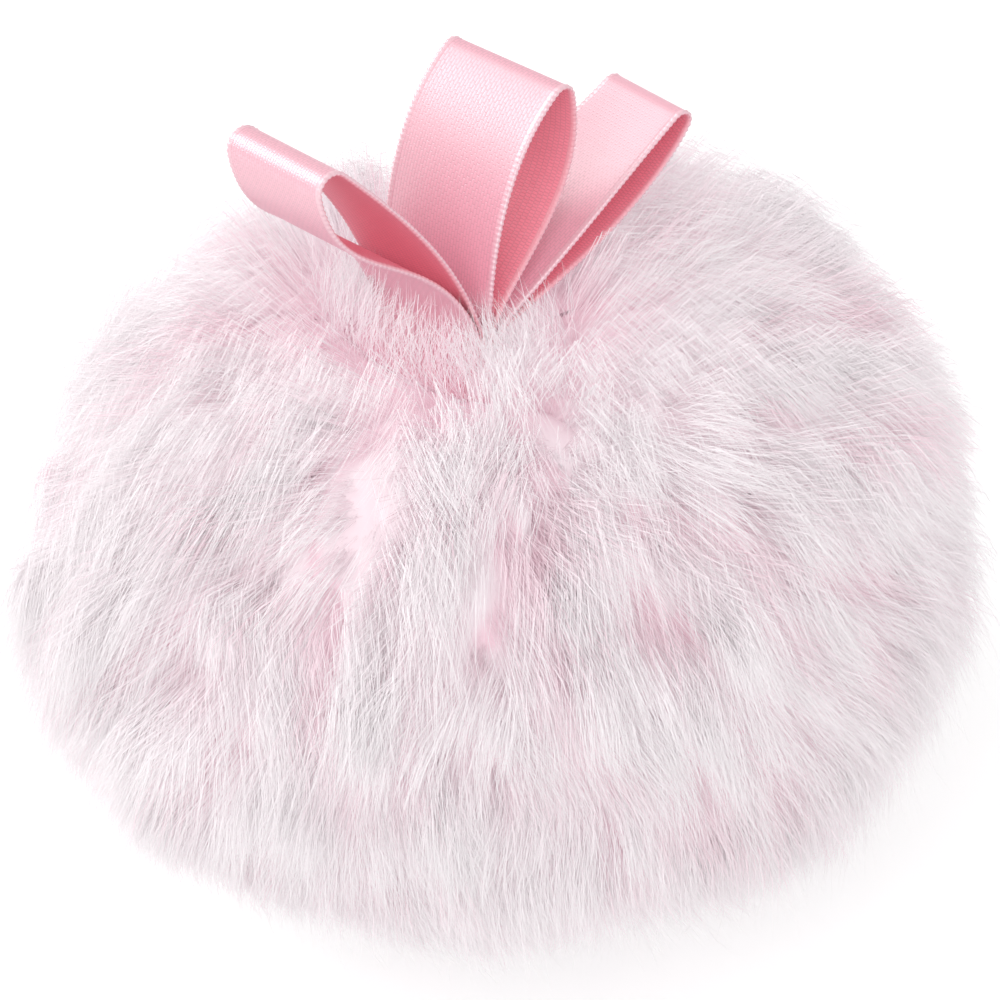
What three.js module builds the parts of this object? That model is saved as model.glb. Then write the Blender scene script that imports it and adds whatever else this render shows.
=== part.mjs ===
// A powder puff: a ball of long faux fur gathered at the top round three loops of satin ribbon.
// Millimetres. The origin is the middle of the base, +Z is up, and +X runs along the width of the ribbons.
import * as THREE from 'three';

// The ball of fur
const PUFF_WIDTH = 102; // body of the pile, inside its loose tips
const PUFF_HEIGHT = 69.5;
const WAIST_HEIGHT = 38; // height of the widest ring of the pile
const BASE_CUT = 2; // depth that the underside of the ball is pressed flat
const ROUNDNESS = 2.3; // 2 is an ellipse, more is squarer
const UNDER_ROUNDNESS = 1.95; // of the pile below its widest ring
const DIMPLE_DEPTH = 6.5; // how far the gathering draws the top in
const DIMPLE_RADIUS = 30;
const SLUMP = 0.08; // the ball slopes this much to one side, most at the widest ring
const SLUMP_ANGLE = 48; // way in which the ball stands higher, from +X towards +Y
const PILE_SIDE = 9.5; // thickness of the pile at the side, at the top and under the base
const PILE_TOP = 8;
const PILE_BASE = 7.5;

// The gathers that run out from the neck
const GATHERS = 10;
const GATHER_HEIGHT = 1;
const GATHER_REACH = 42; // distance from the neck at which they have faded out
const GATHER_RISE = 0.4; // share of the dome, from the widest ring up, over which they come in

// The cover and its neck
const CLOTH = 0.8;
const NECK_DEPTH = 9;
const LIP_ROUND = 1.5;
const NECK_EASE = 1.3; // room for the corners of the bound ribbons
const THROAT_OFFSET = -5; // the neck sits this far along X from the middle of the ball
const THROAT_REACH = 34; // distance from the neck at which the ball is round about its own middle

// The ribbons
const RIBBON_WIDTH = 16;
const RIBBON_THICKNESS = 0.4;
const SEAM = 0.1; // thickness of the sewing between the two ends of a ribbon
const STEM = 1.5; // height over which the two ends of a loop lie together
const TAIL_LENGTH = 17;
const ROOT_ABOVE_LIP = 8.5; // the loops bend this far above the lip of the neck

// The three loops: length from root to fold, radius of the fold, and how far the curve of each strand reaches
// from its root and from its fold. A loop has a strand on its -Y side and one on its +Y side.
const LEFT_LENGTH = 31.5;
const LEFT_FOLD = 2;
const LEFT_MINUS_ROOT = 15;
const LEFT_MINUS_TIP = 12;
const LEFT_PLUS_ROOT = 10;
const LEFT_PLUS_TIP = 11;
const MIDDLE_LENGTH = 29;
const MIDDLE_FOLD = 1.5;
const MIDDLE_MINUS_ROOT = 10;
const MIDDLE_MINUS_TIP = 9;
const MIDDLE_PLUS_ROOT = 6;
const MIDDLE_PLUS_TIP = 13;
const RIGHT_LENGTH = 32;
const RIGHT_FOLD = 1.2;
const RIGHT_MINUS_ROOT = 6;
const RIGHT_MINUS_TIP = 10;
const RIGHT_PLUS_ROOT = 7;
const RIGHT_PLUS_TIP = 10;

// Angles of the loops, in degrees from upright towards +Y, and side towards +X. Swing and tilt turn the width
// of the ribbon at the fold. A strand leaves the stem at its root lean and enters the fold at its tip draw.
const LOOPS = [
  {
    name: 'left', seat: -1, length: LEFT_LENGTH, fold: LEFT_FOLD, lean: -27, side: -7, swing: -7, tilt: 5,
    minus: { rootLean: -10, rootReach: LEFT_MINUS_ROOT, tipDraw: 27, tipReach: LEFT_MINUS_TIP },
    plus: { rootLean: -6, rootReach: LEFT_PLUS_ROOT, tipDraw: 10, tipReach: LEFT_PLUS_TIP },
  },
  {
    name: 'middle', seat: 0, length: MIDDLE_LENGTH, fold: MIDDLE_FOLD, lean: 30, side: 0, swing: 2, tilt: -2,
    minus: { rootLean: 8, rootReach: MIDDLE_MINUS_ROOT, tipDraw: 34, tipReach: MIDDLE_MINUS_TIP },
    plus: { rootLean: 22, rootReach: MIDDLE_PLUS_ROOT, tipDraw: 34, tipReach: MIDDLE_PLUS_TIP },
  },
  {
    name: 'right', seat: 1, length: RIGHT_LENGTH, fold: RIGHT_FOLD, lean: 62, side: 10, swing: -17, tilt: 12,
    minus: { rootLean: 54, rootReach: RIGHT_MINUS_ROOT, tipDraw: -3, tipReach: RIGHT_MINUS_TIP },
    plus: { rootLean: 68, rootReach: RIGHT_PLUS_ROOT, tipDraw: 25, tipReach: RIGHT_PLUS_TIP },
  },
];

// The threads
const THREAD = 0.8; // diameter
const THREAD_PITCH = 1.3;
const GATHERING_TURNS = 3;
const BINDING_TURNS = 4;

// Room between one piece and the next
const CLEARANCE = 0.3;

// How finely the soft shapes are drawn
const BALL_STEPS = 40;
const STUFFING_STEPS = 36;
const DOME_RINGS = 7; // from the widest ring to the neck
const BOWL_RINGS = 4; // from the base to the widest ring
const FIRST_RING = 14; // radius of the first ring round the lowest point
const LIP_STEPS = 2;
const STRAND_STEPS = 14;
const FOLD_STEPS = 8;
const THREAD_SIDES = 6;
const CORNER_STEPS = 4; // steps round one corner of the bound ribbons
const FACE_STEPS = 3; // steps along one face of the bound ribbons
const TURN_STEPS = 24; // steps in one turn round the neck

const FINISHES = {
  fur: { color: '#efe0e6', roughness: 0.95 },
  cloth: { color: '#e6cdd5', roughness: 0.95 },
  stuffing: { color: '#f4f2ef', roughness: 0.95 },
  thread: { color: '#efd9df', roughness: 0.8 },
  ribbon: { color: '#e9a3b2', roughness: 0.35 },
};

// Sizes that follow from the ones above
const LAYERS = 2 * RIBBON_THICKNESS + SEAM;
const SEAT_PITCH = LAYERS + CLEARANCE;
const STACK_HALF = SEAT_PITCH + LAYERS / 2;
const BOUND_WALL = CLEARANCE + THREAD + CLEARANCE;
const NECK_RADIUS = STACK_HALF + BOUND_WALL + NECK_EASE;
const NECK_STRETCH = RIBBON_WIDTH / 2 - STACK_HALF;
const MOUTH_RADIUS = NECK_RADIUS + LIP_ROUND;
const DENT_RADIUS = NECK_RADIUS + CLOTH + BOUND_WALL;

// A body is widest at its waist, with a dome above it and a bowl below, whose roundness is its own.
const FUR = {
  radius: PUFF_WIDTH / 2,
  waist: WAIST_HEIGHT,
  dome: PUFF_HEIGHT - WAIST_HEIGHT,
  bowl: WAIST_HEIGHT + BASE_CUT,
  under: UNDER_ROUNDNESS,
};
const COVER_HALF = (PUFF_HEIGHT - PILE_TOP - PILE_BASE) / 2;
const COVER = {
  radius: PUFF_WIDTH / 2 - PILE_SIDE,
  waist: PILE_BASE + COVER_HALF,
  dome: COVER_HALF,
  bowl: COVER_HALF,
  under: ROUNDNESS,
};

const LIP_HEIGHT = domeHeight(COVER, MOUTH_RADIUS);
const THROAT_HEIGHT = LIP_HEIGHT - LIP_ROUND; // the neck is straight from here down
const HEM_HEIGHT = LIP_HEIGHT - NECK_DEPTH;
const NECK_MIDDLE = (THROAT_HEIGHT + HEM_HEIGHT) / 2;
const ROOT_HEIGHT = LIP_HEIGHT + ROOT_ABOVE_LIP;
const TAIL_TOP = ROOT_HEIGHT - CLEARANCE;
const DENT_FLOOR = Math.min(HEM_HEIGHT, TAIL_TOP - TAIL_LENGTH) - CLEARANCE;

function radians(degrees) {
  return THREE.MathUtils.degToRad(degrees);
}

// A body moved in or out by an offset on all sides.
function grown(body, offset) {
  return {
    radius: body.radius + offset,
    waist: body.waist,
    dome: body.dome + offset,
    bowl: body.bowl + offset,
    under: body.under,
  };
}

// Share of one half width of a round shape that is left at a share of the other.
function roundOff(share, roundness) {
  return (1 - share ** roundness) ** (1 / roundness);
}

// Height of the lowest point of a body.
function bottom(body) {
  return body.waist - body.bowl;
}

// Height of the top of a body, drawn in round the neck.
function domeHeight(body, radius) {
  const share = Math.min(radius / DIMPLE_RADIUS, 1);
  const drawnIn = DIMPLE_DEPTH * Math.cos((share * Math.PI) / 2) ** 2;
  return body.waist + body.dome * roundOff(radius / body.radius, ROUNDNESS) - drawnIn;
}

// Turn at which the side of a body has come in to a distance from its axis.
function turnAt(body, radius) {
  return Math.acos((radius / body.radius) ** (ROUNDNESS / 2));
}

// Slope of the ball at a share of the way from the waist to the base or the neck.
function slopeAt(share) {
  return SLUMP * Math.cos((share * Math.PI) / 2) ** 2;
}

// Profile of a body from a ring of its bowl over the side to a ring of its dome.
function sideProfile(body, baseRadius, topRadius) {
  const points = [];
  const radiusAt = (turn) => body.radius * Math.cos(turn) ** (2 / ROUNDNESS);
  const bowl = turnAt(body, baseRadius);
  for (let i = BOWL_RINGS; i > 0; i--) {
    const radius = radiusAt((bowl * i) / BOWL_RINGS);
    const height = body.waist - body.bowl * roundOff(radius / body.radius, body.under);
    points.push({ radius, height, top: 0, sloped: slopeAt(i / BOWL_RINGS) });
  }
  const dome = turnAt(body, topRadius);
  for (let i = 0; i <= DOME_RINGS; i++) {
    const radius = radiusAt((dome * i) / DOME_RINGS);
    const height = domeHeight(body, radius);
    points.push({ radius, height, top: i / DOME_RINGS, sloped: slopeAt(i / DOME_RINGS) });
  }
  return points;
}

// Point of a soft body: the rings are round low down and drawn out along the ribbons at the neck, the gathers
// raise and lower the dome, and the ball slopes to one side.
function softPoint({ radius, height, top, sloped = 0 }, angle) {
  const neck = top > 0 ? 1 - THREE.MathUtils.smoothstep(radius, MOUTH_RADIUS, THROAT_REACH) : 0;
  const across = Math.cos(angle);
  const drawnOut = across * (1.5 - 0.5 * across * across);
  const reach = THREE.MathUtils.clamp((radius - MOUTH_RADIUS) / (GATHER_REACH - MOUTH_RADIUS), 0, 1);
  const fade = THREE.MathUtils.smoothstep(top, 0, GATHER_RISE) * Math.sin(reach * Math.PI) ** 2;
  const lifted = sloped * radius * Math.cos(angle - radians(SLUMP_ANGLE));
  return new THREE.Vector3(
    neck * THROAT_OFFSET + radius * across + neck * NECK_STRETCH * drawnOut,
    radius * Math.sin(angle),
    height + fade * GATHER_HEIGHT * Math.cos(GATHERS * angle) + lifted,
  );
}

// Named piece with a finish of its own.
function piece(name, geometry, finish) {
  const mesh = new THREE.Mesh(geometry, new THREE.MeshStandardMaterial(finish));
  mesh.name = name;
  return mesh;
}

// Closed body from triangles that index a list of points.
function solid(points, triangles) {
  const geometry = new THREE.BufferGeometry();
  geometry.setAttribute('position', new THREE.Float32BufferAttribute(points.flatMap((p) => p.toArray()), 3));
  geometry.setIndex(triangles.flat());
  geometry.computeVertexNormals();
  return geometry;
}

// Soft body of rings round a profile, between a first and a last point on its axis.
function softBody(first, profile, last, steps) {
  const points = [first, last];
  const triangles = [];
  profile.forEach((ring) => {
    for (let j = 0; j < steps; j++) points.push(softPoint(ring, (j / steps) * 2 * Math.PI));
  });
  const at = (i, j) => 2 + i * steps + (j % steps);
  for (let j = 0; j < steps; j++) {
    triangles.push([0, at(0, j + 1), at(0, j)]);
    for (let i = 0; i + 1 < profile.length; i++) {
      triangles.push([at(i, j), at(i, j + 1), at(i + 1, j + 1)]);
      triangles.push([at(i, j), at(i + 1, j + 1), at(i + 1, j)]);
    }
    triangles.push([at(profile.length - 1, j), at(profile.length - 1, j + 1), 1]);
  }
  return solid(points, triangles);
}

// Round thread along a path, closed flat at both ends.
function thread(path) {
  const points = [];
  const triangles = [];
  path.forEach((point, i) => {
    const along = path[Math.min(i + 1, path.length - 1)].clone().sub(path[Math.max(i - 1, 0)]).normalize();
    const side = new THREE.Vector3(0, 0, 1).cross(along).normalize();
    const up = along.clone().cross(side);
    for (let j = 0; j < THREAD_SIDES; j++) {
      const angle = (j / THREAD_SIDES) * 2 * Math.PI;
      points.push(point.clone()
        .addScaledVector(side, (THREAD / 2) * Math.cos(angle))
        .addScaledVector(up, (THREAD / 2) * Math.sin(angle)));
    }
  });
  const at = (i, j) => i * THREAD_SIDES + (j % THREAD_SIDES);
  for (let j = 0; j < THREAD_SIDES; j++) {
    for (let i = 0; i + 1 < path.length; i++) {
      triangles.push([at(i, j), at(i, j + 1), at(i + 1, j + 1)]);
      triangles.push([at(i, j), at(i + 1, j + 1), at(i + 1, j)]);
    }
  }
  for (let j = 1; j + 1 < THREAD_SIDES; j++) {
    triangles.push([at(0, 0), at(0, j + 1), at(0, j)]);
    triangles.push([at(path.length - 1, 0), at(path.length - 1, j), at(path.length - 1, j + 1)]);
  }
  return solid(points, triangles);
}

// Winding of a closed outline, rising evenly along it, with its two ends run on straight.
function winding(outline, turns, middle) {
  const lengths = outline.map((p, i) => p.distanceTo(outline[(i + 1) % outline.length]));
  const turn = lengths.reduce((sum, length) => sum + length, 0);
  const path = [];
  let run = 0;
  for (let i = 0; i <= turns * outline.length; i++) {
    const { x, y } = outline[i % outline.length];
    path.push(new THREE.Vector3(x, y, middle + (run / turn - turns / 2) * THREAD_PITCH));
    run += lengths[i % outline.length];
  }
  const start = path[0].clone().sub(path[1]).setLength(THREAD).add(path[0]);
  const end = path.at(-1).clone().sub(path.at(-2)).setLength(THREAD).add(path.at(-1));
  return [start, ...path, end];
}

// Least gap between one turn of a winding and the next, measured from point to line.
function leastGap(path, turnSteps) {
  const line = new THREE.Line3();
  const nearest = new THREE.Vector3();
  let least = Infinity;
  path.forEach((point, i) => {
    for (let j = i + Math.round(turnSteps / 2); j + 1 < path.length; j++) {
      line.set(path[j], path[j + 1]).closestPointToPoint(point, true, nearest);
      least = Math.min(least, nearest.distanceTo(point) - THREAD);
    }
  });
  return least;
}

// Outline round the neck, on the side of the stuffing.
function neckOutline() {
  const offset = CLOTH + CLEARANCE + THREAD / 2;
  return Array.from({ length: TURN_STEPS }, (_, i) => {
    const angle = (i / TURN_STEPS) * 2 * Math.PI;
    const { x, y } = softPoint({ radius: NECK_RADIUS, height: HEM_HEIGHT, top: 1 }, angle);
    return new THREE.Vector2(x + offset * Math.cos(angle), y + offset * Math.sin(angle));
  });
}

// Outline round the stack of ribbon ends: straight faces and round corners.
function stackOutline() {
  const radius = CLEARANCE + THREAD / 2;
  const outline = [];
  const corners = [[1, 1], [-1, 1], [-1, -1], [1, -1]];
  corners.forEach(([signX, signY], k) => {
    const x = THROAT_OFFSET + signX * (RIBBON_WIDTH / 2);
    const y = signY * STACK_HALF;
    for (let i = 0; i <= CORNER_STEPS; i++) {
      const angle = ((k + i / CORNER_STEPS) * Math.PI) / 2;
      outline.push(new THREE.Vector2(x + radius * Math.cos(angle), y + radius * Math.sin(angle)));
    }
    if (signX * signY > 0) {
      for (let i = 1; i < FACE_STEPS; i++) {
        outline.push(new THREE.Vector2(x - (signX * RIBBON_WIDTH * i) / FACE_STEPS, y + signY * radius));
      }
    }
  });
  return outline;
}

// Middle line of a loop, seen along X from its root: up one strand, over the fold and down the other.
function loopLine(loop) {
  const along = new THREE.Vector2(Math.sin(radians(loop.lean)), Math.cos(radians(loop.lean)));
  const across = new THREE.Vector2(along.y, -along.x);
  const foldMiddle = along.clone().multiplyScalar(loop.length - loop.fold);
  const foldPoint = (angle) => foldMiddle.clone()
    .addScaledVector(across, loop.fold * Math.cos(angle))
    .addScaledVector(along, loop.fold * Math.sin(angle));
  const strand = ({ rootLean, rootReach, tipDraw, tipReach }, sign) => {
    const root = new THREE.Vector2((sign * (LAYERS - RIBBON_THICKNESS)) / 2, STEM);
    const rise = new THREE.Vector2(Math.sin(radians(rootLean)), Math.cos(radians(rootLean)));
    const draw = radians(tipDraw);
    const tip = foldPoint(sign > 0 ? draw : Math.PI - draw);
    const entry = along.clone()
      .multiplyScalar(Math.cos(draw))
      .addScaledVector(across, -sign * Math.sin(draw));
    return new THREE.CubicBezierCurve(
      root,
      root.clone().addScaledVector(rise, rootReach),
      tip.clone().addScaledVector(entry, -tipReach),
      tip,
    ).getPoints(STRAND_STEPS);
  };
  const up = strand(loop.minus, -1);
  const down = strand(loop.plus, 1).reverse();
  const from = Math.PI - radians(loop.minus.tipDraw);
  const to = radians(loop.plus.tipDraw);
  const step = (to - from) / FOLD_STEPS;
  const fold = Array.from({ length: FOLD_STEPS - 1 }, (_, i) => foldPoint(from + step * (i + 1)));
  return [...up, ...fold, ...down];
}

// Loop of ribbon: two faces, two edges and the stem in which its ends lie together.
function ribbonLoop(loop) {
  const line = loopLine(loop);
  const last = line.length - 1;
  const normals = line.map((_, i) => {
    const run = line[Math.min(i + 1, last)].clone().sub(line[Math.max(i - 1, 0)]).normalize();
    return new THREE.Vector2(-run.y, run.x);
  });
  const offset = (i, distance) => line[i].clone().addScaledVector(normals[i], distance);
  const outside = [
    new THREE.Vector2(-LAYERS / 2, 0),
    new THREE.Vector2(-LAYERS / 2, STEM),
    ...line.slice(1, last).map((_, i) => offset(i + 1, RIBBON_THICKNESS / 2)),
    new THREE.Vector2(LAYERS / 2, STEM),
    new THREE.Vector2(LAYERS / 2, 0),
  ];
  const inside = [
    new THREE.Vector2(0, STEM),
    ...line.slice(1, last).map((_, i) => offset(i + 1, -RIBBON_THICKNESS / 2)),
  ];
  const lean = radians(loop.lean);
  const place = ({ x: y, y: z }, width) => {
    const reach = y * Math.sin(lean) + z * Math.cos(lean);
    const turned = THREE.MathUtils.smoothstep(reach, 0, loop.length);
    const swing = radians(loop.swing) * turned;
    const tilt = radians(loop.tilt) * turned;
    const aside = Math.max(reach, 0) * Math.sin(radians(loop.side));
    return new THREE.Vector3(
      THROAT_OFFSET + aside + width * Math.cos(tilt) * Math.cos(swing),
      loop.seat * SEAT_PITCH + y + width * Math.cos(tilt) * Math.sin(swing),
      ROOT_HEIGHT + z + width * Math.sin(tilt),
    );
  };
  const flat = [...outside, ...inside];
  const points = [-RIBBON_WIDTH / 2, RIBBON_WIDTH / 2].flatMap((width) => flat.map((p) => place(p, width)));
  const far = (i) => i;
  const near = (i) => flat.length + i;
  const count = outside.length;
  const within = (i) => count + (i >= 2 && i <= count - 3 ? i - 1 : 0);
  const triangles = [];
  for (let i = 0; i < count; i++) {
    const next = (i + 1) % count;
    triangles.push([far(i), near(i), near(next)], [far(i), near(next), far(next)]);
    const a = within(i);
    const b = within(next);
    if (next === 0) {
      triangles.push([near(i), near(a), near(0)], [far(i), far(0), far(a)]);
    } else {
      triangles.push([near(i), near(b), near(next)], [far(i), far(next), far(b)]);
      if (a !== b) {
        triangles.push([near(i), near(a), near(b)], [far(i), far(b), far(a)]);
        triangles.push([far(a), near(b), near(a)], [far(a), far(b), near(b)]);
      }
    }
  }
  return solid(points, triangles);
}

// The two ends of a ribbon, sewn flat together.
function ribbonTails(loop) {
  const geometry = new THREE.BoxGeometry(RIBBON_WIDTH, LAYERS, TAIL_LENGTH);
  return geometry.translate(THROAT_OFFSET, loop.seat * SEAT_PITCH, TAIL_TOP - TAIL_LENGTH / 2);
}

const onAxis = (x, height) => new THREE.Vector3(x, 0, height);

// Fur: the tips of the pile outside, the cover inside, open at the mouth.
function furPile() {
  const seat = grown(COVER, CLEARANCE);
  const baseRadius = FUR.radius * roundOff(FUR.waist / FUR.bowl, FUR.under);
  const profile = [
    ...sideProfile(FUR, baseRadius, MOUTH_RADIUS),
    ...sideProfile(seat, FIRST_RING, MOUTH_RADIUS).reverse(),
  ];
  return softBody(onAxis(0, 0), profile, onAxis(0, bottom(seat)), BALL_STEPS);
}

// Cover: a bag of cloth whose neck turns down into the stuffing.
function coverCloth() {
  const inside = grown(COVER, -CLOTH);
  const lip = (round) => Array.from({ length: LIP_STEPS }, (_, i) => {
    const angle = (((i + 1) / LIP_STEPS) * Math.PI) / 2;
    return {
      radius: MOUTH_RADIUS - round * Math.sin(angle),
      height: LIP_HEIGHT - LIP_ROUND + round * Math.cos(angle),
      top: 1,
    };
  });
  const profile = [
    ...sideProfile(COVER, FIRST_RING, MOUTH_RADIUS),
    ...lip(LIP_ROUND),
    { radius: NECK_RADIUS, height: HEM_HEIGHT, top: 1 },
    { radius: NECK_RADIUS + CLOTH, height: HEM_HEIGHT, top: 1 },
    ...lip(LIP_ROUND - CLOTH).reverse(),
    ...sideProfile(inside, FIRST_RING, MOUTH_RADIUS).reverse(),
  ];
  return softBody(onAxis(0, bottom(COVER)), profile, onAxis(0, bottom(inside)), BALL_STEPS);
}

// Stuffing: fills the bag and is dented by the neck.
function stuffing() {
  const body = grown(COVER, -CLOTH - CLEARANCE);
  const profile = [
    ...sideProfile(body, FIRST_RING, DENT_RADIUS),
    { radius: DENT_RADIUS, height: DENT_FLOOR, top: 1 },
  ];
  return softBody(onAxis(0, bottom(body)), profile, onAxis(THROAT_OFFSET, DENT_FLOOR), STUFFING_STEPS);
}

const gatheringPath = winding(neckOutline(), GATHERING_TURNS, NECK_MIDDLE);
const bindingOutline = stackOutline();
const bindingPath = winding(bindingOutline, BINDING_TURNS, NECK_MIDDLE);
const gatheringGap = leastGap(gatheringPath, TURN_STEPS);
const bindingGap = leastGap(bindingPath, bindingOutline.length);
console.log(`gathering_thread: least gap between turns ${gatheringGap.toFixed(2)} mm`);
console.log(`ribbon_binding: least gap between turns ${bindingGap.toFixed(2)} mm`);

const puff = new THREE.Group();
puff.name = 'powder_puff';
puff.add(
  piece('fur_pile', furPile(), FINISHES.fur),
  piece('cover_cloth', coverCloth(), FINISHES.cloth),
  piece('stuffing', stuffing(), FINISHES.stuffing),
  piece('gathering_thread', thread(gatheringPath), FINISHES.thread),
  piece('ribbon_binding', thread(bindingPath), FINISHES.thread),
);
LOOPS.forEach((loop) => puff.add(
  piece(`${loop.name}_tails`, ribbonTails(loop), FINISHES.ribbon),
  piece(`${loop.name}_loop`, ribbonLoop(loop), FINISHES.ribbon),
));

export default puff;
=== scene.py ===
"""A powder puff of long faux fur with three satin ribbon loops, drawn over its CAD frame."""

import math

import bpy
import numpy as np
from mathutils import Matrix, Vector


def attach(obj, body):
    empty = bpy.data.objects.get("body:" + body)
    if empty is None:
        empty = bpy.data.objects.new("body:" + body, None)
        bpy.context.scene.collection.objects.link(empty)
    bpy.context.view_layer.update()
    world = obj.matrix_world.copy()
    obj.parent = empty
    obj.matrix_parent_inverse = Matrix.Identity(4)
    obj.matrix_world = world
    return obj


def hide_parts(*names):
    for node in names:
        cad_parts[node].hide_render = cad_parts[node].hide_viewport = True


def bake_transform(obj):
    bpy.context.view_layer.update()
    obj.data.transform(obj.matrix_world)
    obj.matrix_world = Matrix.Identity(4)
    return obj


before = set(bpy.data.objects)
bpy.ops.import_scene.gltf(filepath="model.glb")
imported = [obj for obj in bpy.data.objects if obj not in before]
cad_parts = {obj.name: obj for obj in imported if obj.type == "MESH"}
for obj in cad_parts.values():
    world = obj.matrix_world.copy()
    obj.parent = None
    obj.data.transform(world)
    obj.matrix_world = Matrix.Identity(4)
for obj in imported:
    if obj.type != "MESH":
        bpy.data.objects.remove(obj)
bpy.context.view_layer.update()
scene = bpy.context.scene

MM = 0.001
SEED = 11

# The ball and its cover, in millimetres and degrees: as in the CAD, with a shallower crown
PUFF_WIDTH = 102.0
PUFF_HEIGHT = 69.5
PILE_SIDE = 9.5
PILE_TOP = 8.0
PILE_BASE = 7.5
ROUNDNESS = 2.3
CROWN_BLEND = 0.5
CROWN_TILT = 0.08
TILT_ANGLE = 48.0
DIMPLE_DEPTH = 3.0
DIMPLE_RADIUS = 30.0
THROAT_OFFSET = -5.0
THROAT_REACH = 34.0
NECK_STRETCH = 6.35
MOUTH_RADIUS = 5.85
GATHERS = 14
GATHER_DEPTH = 1.6
GATHER_SHAPE = 1.5
GATHER_WANDER = (0.16, 0.10)
CLOTH_THICKNESS = 0.8
COVER_GRID = (60, 120)
POLE_GAP = 1e-3

# The ribbons, in millimetres and degrees, as in the CAD
RIBBON_WIDTH = 16.0
RIBBON_THICKNESS = 0.34
LAYER_GAP = 0.5
SEAT_PITCH = 1.2
STEM = 1.5
TAIL_LENGTH = 17.0
ROOT_HEIGHT = 63.96

# The loops, each strand by its lean and reach at the root and its draw and reach at the fold
LOOPS = {
    "left": dict(seat=-1, length=31.5, lean=-27, side=-7, swing=-7, tilt=5, fold=2.0,
                 minus=(-10, 15, 27, 12), plus=(-6, 10, 10, 11)),
    "middle": dict(seat=0, length=29, lean=30, side=0, swing=2, tilt=-2, fold=1.5,
                   minus=(8, 10, 34, 9), plus=(22, 6, 34, 13)),
    "right": dict(seat=1, length=32, lean=62, side=10, swing=-17, tilt=12, fold=1.2,
                  minus=(54, 6, -3, 10), plus=(68, 7, 25, 10)),
}

# The ribbons' steps, and their section as shares of half the width
RIBBON_STEPS = 620
STRAND_POINTS = 160
FOLD_POINTS = 60
SMOOTHINGS = 6
FLAT_SHARE = 0.88
FLAT_COLUMNS = 13
SELVEDGE_SHARE = (0.94, 0.985)
SELVEDGE_COLUMNS = 4
SELVEDGE_RISE = (0.93, 0.96)
ROUNDED_FROM = 0.96
ROUNDED_BAND = 0.04
THINNEST = 0.04
OUTMOST_FROM = 0.97
BEAD_PITCH = 0.62
BEAD_OUT = 0.12
BEAD_THICK = (0.25, 0.5)

# The number of tufts, locks and strands, and how they are spread over the cover
TUFTS = 480
LOCKS = 6300
STRANDS = 40
FUR_PIECES = 12
TUFT_START = 0.5
LOCK_START = 17.3
LOCK_CHUNK = 1000
SPREAD_UP = 0.7548776662466927
SPREAD_ROUND = 0.5698402909980532
SPREAD_RINGS = 600
SPREAD_SECTORS = 73

# The outer surface of the pile, in millimetres
PILE_RADIUS = 52.8
PILE_HALF = 34.8
PILE_MIDDLE = 37.2
PILE_SHIFT = -0.6
BASE_BLEND = 0.9
BASE_SHIFT = 2.4
BASE_SPREAD = 0.05
BASE_DRAW = 0.05
BASE_SKEW = 0.26

# The combing of the hair, in millimetres and degrees
SHORTEST_HAIR = 8.0
LONGEST_HAIR = 24.0
LENGTH_HALVINGS = 14
LIP_HAIR = 18.0
LIP_REACH = 14.0
LIP_LEAN = 56.0
SIDE_LEAN = 52.0
DOME_LEAN = 69.0
DOME_RISE = (0.1, 0.6)
BASE_LEAN = 72.0
BASE_FALL = (0.1, 0.8)
LEAN_TILT = 6.0
NOISE_WAVES = 16
PATCH_PITCH = (11.0, 24.0)
LEAN_SPREAD = 7.0
SWIRL_SPREAD = 15.0
LENGTH_SPREAD = 0.07
STREAK_PITCH = (3.2, 6.5)
STREAK_RUN = 14.0
STREAK_LEAN = 4.0
STREAK_SWIRL = 10.0
STREAK_LENGTH = 0.08
CREASE_PATCH = 0.2
CREASE_RISE = (0.0, 1.5)
CREASE_BELOW = 0.65
CREASE_TURN = (-0.3, 0.6)
CREASE_DEPTH = 0.11
# Painted shade: strands and undercoat in a crease take the pinker colour from further down the hair
CREASE_PAINTED_SHADE = 0.5

# Tufts, locks and strands, in millimetres, degrees and shares of a length
TUFT_SCATTER = 0.02
TUFT_LEAN = 3.0
TUFT_SWIRL = 4.0
TUFT_DRAW = 0.3
LOCK_LEAN = 2.0
LOCK_SWIRL = 3.0
LOCK_LENGTH = 0.03
LOCK_DRAW = 0.4
LOCK_RADIUS = 1.5
FRINGE_REACH = 5.0
FRINGE_SHARE = 0.5
FRINGE_STRAY = 0.25
FRINGE_DRAW = 0.4
FRINGE_LENGTH = (0.45, 0.45)
STRAND_WIDTH = 0.064
STRAND_WIDTHS = (0.8, 0.5)
STRAND_SWELL = 0.66
STRAND_STRAY = 1.5
STRAND_SHORTER = 0.34
STRAND_CURL = 0.45
STRAND_SAG = 0.06
STRAND_LIFT = 0.13
DOME_LIFT = 0.10
DOME_TURN = (0.3, 0.9)
LIP_LIFT = 0.10
HAIR_ROOM = 0.5
LOOP_DROP = 4.0
FLOOR_GAP = 0.15
FLOOR_LAYER = 0.3

# Where a strand reads the fur's colour: root to tip, and its own tint
ROOT_STAGE = 0.02
TIP_STAGE = 0.98
TINT_START = 0.06
TINT_RUN = 0.78
TINT_STEP = 0.02
LOCK_TINT = 0.25
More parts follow.
